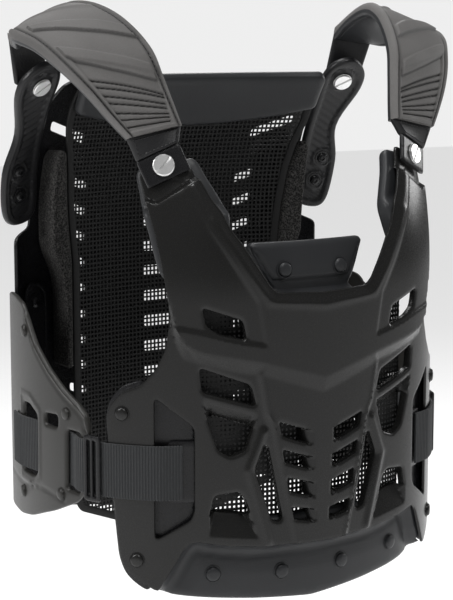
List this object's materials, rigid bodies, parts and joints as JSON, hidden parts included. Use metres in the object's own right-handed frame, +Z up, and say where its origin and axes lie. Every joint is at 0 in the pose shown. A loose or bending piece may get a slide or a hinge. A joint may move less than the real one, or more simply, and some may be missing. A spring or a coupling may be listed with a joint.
{
  "type": "roost deflector",
  "caption": "Hard chest shell and back shell joined by moulded foam shoulder pads, side wings and webbing, worn over the torso to stop thrown stones.",
  "frame": {"origin": "midway between the undersides of the two shoulder pads at their crests, where the part sits on the shoulders", "axes": "+X towards the wearer's left, -Y the way the wearer faces, +Z up"},
  "size_m": [0.4472, 0.304, 0.5236],
  "materials": {
    "shell_plastic": "satin moulded plastic",
    "wing_plastic": "satin moulded plastic",
    "black_plastic": "satin black moulded plastic",
    "vinyl": "smooth vinyl over foam",
    "shoulder_foam": "moulded foam with fine grain",
    "black_foam": "open-cell foam",
    "mesh_fabric": "perforated mesh fabric",
    "webbing": "woven nylon webbing",
    "steel": "bright slotted screw"
  },
  "bodies": {
    "root": {"front_shell": "shell_plastic", "flange_rivet_top_left": "shell_plastic", "flange_rivet_top_right": "shell_plastic", "flange_rivet_low_left": "shell_plastic", "flange_rivet_low_right": "shell_plastic", "side_wing_left": "wing_plastic", "side_wing_right": "wing_plastic", "wing_rivet_top_left": "wing_plastic", "wing_rivet_top_right": "wing_plastic", "wing_rivet_low_left": "wing_plastic", "wing_rivet_low_right": "wing_plastic", "wing_rivet_back_left": "wing_plastic", "wing_rivet_back_right": "wing_plastic", "back_shell": "black_plastic", "flank_liner_left": "black_plastic", "flank_liner_right": "black_plastic", "shoulder_bracket_left": "black_plastic", "shoulder_bracket_right": "black_plastic", "wing_strip_left": "black_plastic", "wing_strip_right": "black_plastic", "front_tab_left": "black_plastic", "front_tab_right": "black_plastic", "strap_anchor_left": "black_plastic", "strap_anchor_right": "black_plastic", "strap_slide_left": "black_plastic", "strap_slide_right": "black_plastic", "bracket_rivet_top_left": "black_plastic", "bracket_rivet_top_right": "black_plastic", "bracket_rivet_low_left": "black_plastic", "bracket_rivet_low_right": "black_plastic", "strip_rivet_left": "black_plastic", "strip_rivet_right": "black_plastic", "chest_pad": "vinyl", "belly_pad": "vinyl", "back_collar_pad": "vinyl", "arm_liner_left": "vinyl", "arm_liner_right": "vinyl", "front_sleeve_left": "vinyl", "front_sleeve_right": "vinyl", "rear_sleeve_left": "vinyl", "rear_sleeve_right": "vinyl", "chest_rivet_left": "vinyl", "chest_rivet_right": "vinyl", "belly_rivet_outer_left": "vinyl", "belly_rivet_outer_right": "vinyl", "belly_rivet_inner_left": "vinyl", "belly_rivet_inner_right": "vinyl", "shoulder_pad_left": "shoulder_foam", "shoulder_pad_right": "shoulder_foam", "back_foam_left": "black_foam", "back_foam_right": "black_foam", "back_mesh_panel": "mesh_fabric", "front_mesh_liner": "mesh_fabric", "side_webbing_left": "webbing", "side_webbing_right": "webbing", "front_screw_left": "steel", "front_screw_right": "steel", "rear_screw_left": "steel", "rear_screw_right": "steel"}
  },
  "joints": []
}
